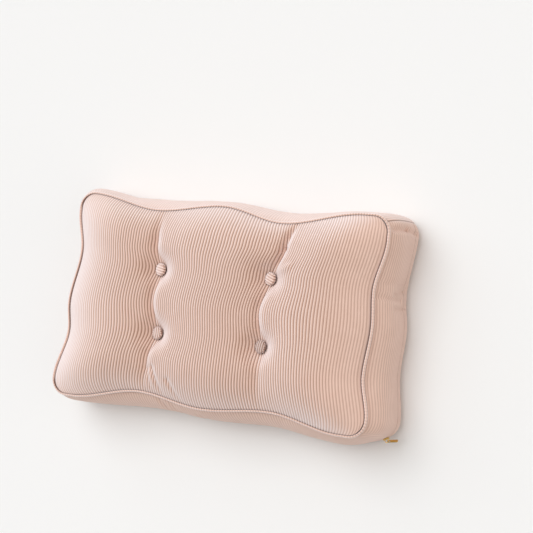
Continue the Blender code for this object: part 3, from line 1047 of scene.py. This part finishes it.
def brass(settings):
    """Polished brass that has dulled a little where it is handled."""
    finish = Finish("worn_brass")
    place = finish.place()
    worn = finish.spread(finish.noise(place, WEAR_SCALE, 4.0, 0.6), 0.4, 0.7)
    bright, dull = opaque(settings.brass), opaque(settings.brass_dull)
    finish.dress({
        "Base Color": finish.mix(worn * WEAR_SHARE, bright, dull),
        "Metallic": 1.0,
        "Roughness": worn * 0.22 + 0.2,
        "Normal": finish.bump(finish.noise(place, SCRATCH_SCALE), 0.08, 0.1 * MM),
    })
    return finish.material


def plain(name, colour, roughness):
    """Even matt finish."""
    finish = Finish(name)
    finish.dress({"Base Color": opaque(colour), "Roughness": roughness})
    return finish.material


def finish_piece(piece, material, slot, *nodes):
    """Dress a new piece and let it stand for its CAD nodes."""
    piece.data.materials.append(material)
    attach(piece, "root")
    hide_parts(*nodes)


LengthProperty = partial(FloatProperty, unit="LENGTH", precision=4)
ColourProperty = partial(FloatVectorProperty, subtype="COLOR")


class CoverSettings(bpy.types.PropertyGroup):
    """Sizes of the cover and its filling."""

    wales: IntProperty(
        name="Wales", description="Raised ribs of the corduroy over the pillow's width", default=120,
    )
    groove_depth: LengthProperty(
        name="Groove Depth", description="Depth of the grooves between the wales", default=1.4 * MM,
    )
    crown: LengthProperty(
        name="Crown", description="Height of the filled panel above the piping", default=34 * MM,
    )
    tuft_floor: LengthProperty(
        name="Tuft Floor", description="Height of the cloth under a tuft button, above the piping",
        default=6.5 * MM,
    )
    pressure: FloatProperty(
        name="Pressure", description="How hard the filling presses the cover out", default=4.0,
    )
    ease: FloatProperty(
        name="Ease", description="Extra cloth in the cover, as a share of its size", default=0.0,
    )
    give: LengthProperty(
        name="Give", description="Furthest that the filling may move the cover", default=7 * MM,
    )
    steps: IntProperty(
        name="Steps", description="Steps for which the filling presses the cover out", default=20,
    )


class ClothColours(bpy.types.PropertyGroup):
    """Colours of the corduroy."""

    pile: ColourProperty(name="Pile", description="Colour of the wales", default=(0.90, 0.66, 0.56))
    # Pale colour of the painted sheen
    pile_sheen: ColourProperty(
        name="Pale Pile", description="Colour of the wales where the pile is seen from the side",
        default=(1.0, 0.91, 0.91),
    )
    # How strongly the painted sheen lightens the pile
    painted_sheen: FloatProperty(
        name="Nap", description="How far the pile pales when it is seen from the side", default=0.95,
    )
    pile_brushed: ColourProperty(
        name="Brushed Pile", description="Colour where the pile is brushed the other way",
        default=(0.82, 0.58, 0.48),
    )
    # Groove colour: the ground cloth's own darker colour, deepened with painted shade
    groove: ColourProperty(
        name="Groove", description="Colour of the ground cloth between the wales",
        default=(0.34, 0.175, 0.115),
    )
    # Colour of the painted shade in seams, round the buttons and on the cord's inner side
    seam: ColourProperty(
        name="Seam", description="Colour deep in the seams", default=(0.16, 0.075, 0.055),
    )
    sheen: FloatProperty(
        name="Nap Sheen", description="Soft glow of the pile at a low angle", default=0.4,
    )


class PipingSettings(bpy.types.PropertyGroup):
    """Sizes of the piping cord."""

    rib_pitch: LengthProperty(
        name="Rib Pitch", description="Distance between two ribs along the cord", default=4.8 * MM,
    )
    rib_depth: FloatProperty(
        name="Rib Depth", description="Depth of the grooves between ribs, as a share of the radius",
        default=0.14,
    )
    # Darkness of the rib grooves: ground cloth and painted shade
    rib_shade: FloatProperty(
        name="Rib Shade", description="How dark the grooves between ribs are", default=0.6,
    )


class ButtonSettings(bpy.types.PropertyGroup):
    """Sizes of the covered buttons."""

    radius: LengthProperty(name="Radius", description="Radius of a button", default=11.2 * MM)
    height: LengthProperty(name="Height", description="Height of a button", default=5.6 * MM)
    wale_pitch: LengthProperty(
        name="Wale Pitch", description="Distance between two wales on a button", default=4.4 * MM,
    )
    groove_depth: LengthProperty(
        name="Groove Depth", description="Depth of the grooves on a button", default=0.9 * MM,
    )
    tilt: FloatProperty(
        name="Tilt", description="Lean of a button towards the left of the crease", subtype="ANGLE",
        default=math.radians(14),
    )
    gathers: IntProperty(
        name="Gathers", description="Small gathers of cloth round the rim of a button", default=16,
    )


class BrassSettings(bpy.types.PropertyGroup):
    """Colours of the zip's brass."""

    brass: ColourProperty(
        name="Brass", description="Colour of the bright brass", default=(0.80, 0.56, 0.17),
    )
    brass_dull: ColourProperty(
        name="Dull Brass", description="Colour where the brass has dulled",
        default=(0.50, 0.34, 0.12),
    )


class StudioSettings(bpy.types.PropertyGroup):
    """Floor and lights."""

    floor: ColourProperty(
        name="Floor", description="Colour of the floor", default=(0.89, 0.90, 0.90),
    )
    key_strength: FloatProperty(
        name="Key Light", description="Strength of the soft main light", default=1.6,
    )
    key_softness: FloatProperty(
        name="Key Softness", description="Width of the main light", subtype="ANGLE",
        default=math.radians(60),
    )
    fill_strength: FloatProperty(
        name="Fill Light", description="Strength of the weak warm light from the right", default=0.5,
    )
    sky_strength: FloatProperty(
        name="Sky Light", description="Strength of the weak cool light from the left", default=0.75,
    )
    fill_softness: FloatProperty(
        name="Fill Softness", description="Width of the two weak lights", subtype="ANGLE",
        default=math.radians(60),
    )
    room_light: FloatProperty(
        name="Room Light", description="Strength of the even light all round", default=0.39,
    )


class PILLOW_OT_cover(bpy.types.Operator):
    """Make the corduroy cover over its filling"""

    bl_idname = "pillow.cover"
    bl_label = "Cover"

    def execute(self, context):
        scene = context.scene
        cover = make_cover(scene.pillow_cover)
        finish_piece(cover, corduroy("pink_corduroy", scene.pillow_colours), "corduroy", "pillow")
        return {"FINISHED"}


class PILLOW_OT_piping(bpy.types.Operator):
    """Make the ribbed piping cord round the front panel"""

    bl_idname = "pillow.piping"
    bl_label = "Piping"

    def execute(self, context):
        scene = context.scene
        piping = make_piping(scene.pillow_piping)
        material = corduroy("piping_corduroy", scene.pillow_colours)
        finish_piece(piping, material, "piping", "piping")
        return {"FINISHED"}


class PILLOW_OT_buttons(bpy.types.Operator):
    """Make the four covered tuft buttons"""

    bl_idname = "pillow.buttons"
    bl_label = "Buttons"

    def execute(self, context):
        scene = context.scene
        for spot in BUTTONS:
            button = make_button(spot, scene.pillow_buttons)
            # Each button's copy of the cloth is made lighter where it is lit and darker where it is in
            # shade
            material = corduroy(spot.name + "_corduroy", scene.pillow_colours, spot.tone)
            finish_piece(button, material, "button_cloth", spot.name)
        return {"FINISHED"}


class PILLOW_OT_zip(bpy.types.Operator):
    """Give the zip slider and its pull their brass"""

    bl_idname = "pillow.zip"
    bl_label = "Zip"

    def execute(self, context):
        material = brass(context.scene.pillow_brass)
        for name in ("zip_slider", "zip_pull"):
            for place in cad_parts[name].material_slots:
                place.material = material
        return {"FINISHED"}


class PILLOW_OT_studio(bpy.types.Operator):
    """Set up the floor, the lights and the camera"""

    bl_idname = "pillow.studio"
    bl_label = "Studio"

    def execute(self, context):
        scene = context.scene
        settings = scene.pillow_studio
        make_floor(settings)
        make_light("key", settings.key_strength, settings.key_softness, KEY_COLOUR, KEY_PLACE)
        make_light("sky", settings.sky_strength, settings.fill_softness, SKY_COLOUR, SKY_PLACE)
        make_light("fill", settings.fill_strength, settings.fill_softness, FILL_COLOUR, FILL_PLACE)
        make_room_light(scene, settings)
        make_camera(scene)
        scene.view_settings.view_transform = "Standard"
        return {"FINISHED"}


def make_floor(settings):
    """Plain pale floor, wide enough to fill the picture."""
    mesh = bmesh.new()
    bmesh.ops.create_grid(mesh, x_segments=1, y_segments=1, size=6)
    floor = add_piece("studio_floor", mesh)
    floor.data.materials.append(plain("pale_floor", settings.floor, 0.9))


def make_light(name, strength, softness, colour, place):
    """Soft light from a place's direction, the same over the whole floor."""
    lamp = bpy.data.lights.new(name, "SUN")
    lamp.energy = strength
    lamp.angle = softness
    lamp.color = colour
    light = add_object(name, lamp)
    light.location = place
    light.rotation_euler = (-Vector(place)).to_track_quat("-Z", "Y").to_euler()


def make_room_light(scene, settings):
    """Even light from all round."""
    world = bpy.data.worlds.new("room")
    world.use_nodes = True
    sky = world.node_tree.nodes["Background"]
    sky.inputs["Color"].default_value = (1.0, 0.995, 0.985, 1.0)
    sky.inputs["Strength"].default_value = settings.room_light
    scene.world = world


# Main light from above and the upper left of the picture, weak warm light from its
# right and weak cool light from its left
KEY_PLACE = (-0.35, 0.45, 1.3)
KEY_COLOUR = (1.0, 0.98, 0.975)
FILL_PLACE = (1.2, -0.1, 0.8)
FILL_COLOUR = (1.0, 0.87, 0.75)
SKY_PLACE = (-1.1, 0.85, 0.65)
SKY_COLOUR = (0.92, 0.96, 1.0)

# Camera of the photograph: where it stands, and its axes
CAMERA_PLACE = (1.23215, -0.02259, 2.22131)
CAMERA_RIGHT = (0.87697132, 0.11311202, -0.46704065)
CAMERA_UP = (-0.08076916, 0.99277143, 0.0887763)
CAMERA_BACK = (0.47370628, -0.04013179, 0.87976804)
CAMERA_LENS = 101.31


def make_camera(scene):
    """Camera at the photograph's angle to the front panel."""
    data = bpy.data.cameras.new("camera")
    data.lens = CAMERA_LENS
    data.sensor_width = 36
    data.sensor_fit = "HORIZONTAL"
    camera = add_object("camera", data)
    turn = Matrix((CAMERA_RIGHT, CAMERA_UP, CAMERA_BACK)).transposed()
    camera.matrix_world = Matrix.Translation(CAMERA_PLACE) @ turn.to_4x4()
    scene.camera = camera


class PILLOW_PT_sidebar(bpy.types.Panel):
    """Lists the pillow's pieces"""

    bl_label = "Backrest Pillow"
    bl_idname = "PILLOW_PT_sidebar"
    bl_space_type = "VIEW_3D"
    bl_region_type = "UI"
    bl_category = "Pillow"

    def draw(self, context):
        for operator, group in STEPS:
            box = self.layout.box()
            box.operator(operator.bl_idname)
            for name, settings in group.items():
                values = getattr(context.scene, name)
                for key in settings.__annotations__:
                    box.prop(values, key)


STEPS = (
    (PILLOW_OT_cover, {"pillow_cover": CoverSettings, "pillow_colours": ClothColours}),
    (PILLOW_OT_piping, {"pillow_piping": PipingSettings}),
    (PILLOW_OT_buttons, {"pillow_buttons": ButtonSettings}),
    (PILLOW_OT_zip, {"pillow_brass": BrassSettings}),
    (PILLOW_OT_studio, {"pillow_studio": StudioSettings}),
)
GROUPS = {name: group for _, groups in STEPS for name, group in groups.items()}


def register():
    for name, group in GROUPS.items():
        bpy.utils.register_class(group)
        setattr(bpy.types.Scene, name, PointerProperty(type=group))
    for operator, _ in STEPS:
        bpy.utils.register_class(operator)
    bpy.utils.register_class(PILLOW_PT_sidebar)


def unregister():
    bpy.utils.unregister_class(PILLOW_PT_sidebar)
    for operator, _ in reversed(STEPS):
        bpy.utils.unregister_class(operator)
    for name, group in reversed(GROUPS.items()):
        delattr(bpy.types.Scene, name)
        bpy.utils.unregister_class(group)


def main():
    register()
    bpy.ops.pillow.cover()
    bpy.ops.pillow.piping()
    bpy.ops.pillow.buttons()
    bpy.ops.pillow.zip()
    bpy.ops.pillow.studio()


if __name__ == "__main__":
    main()
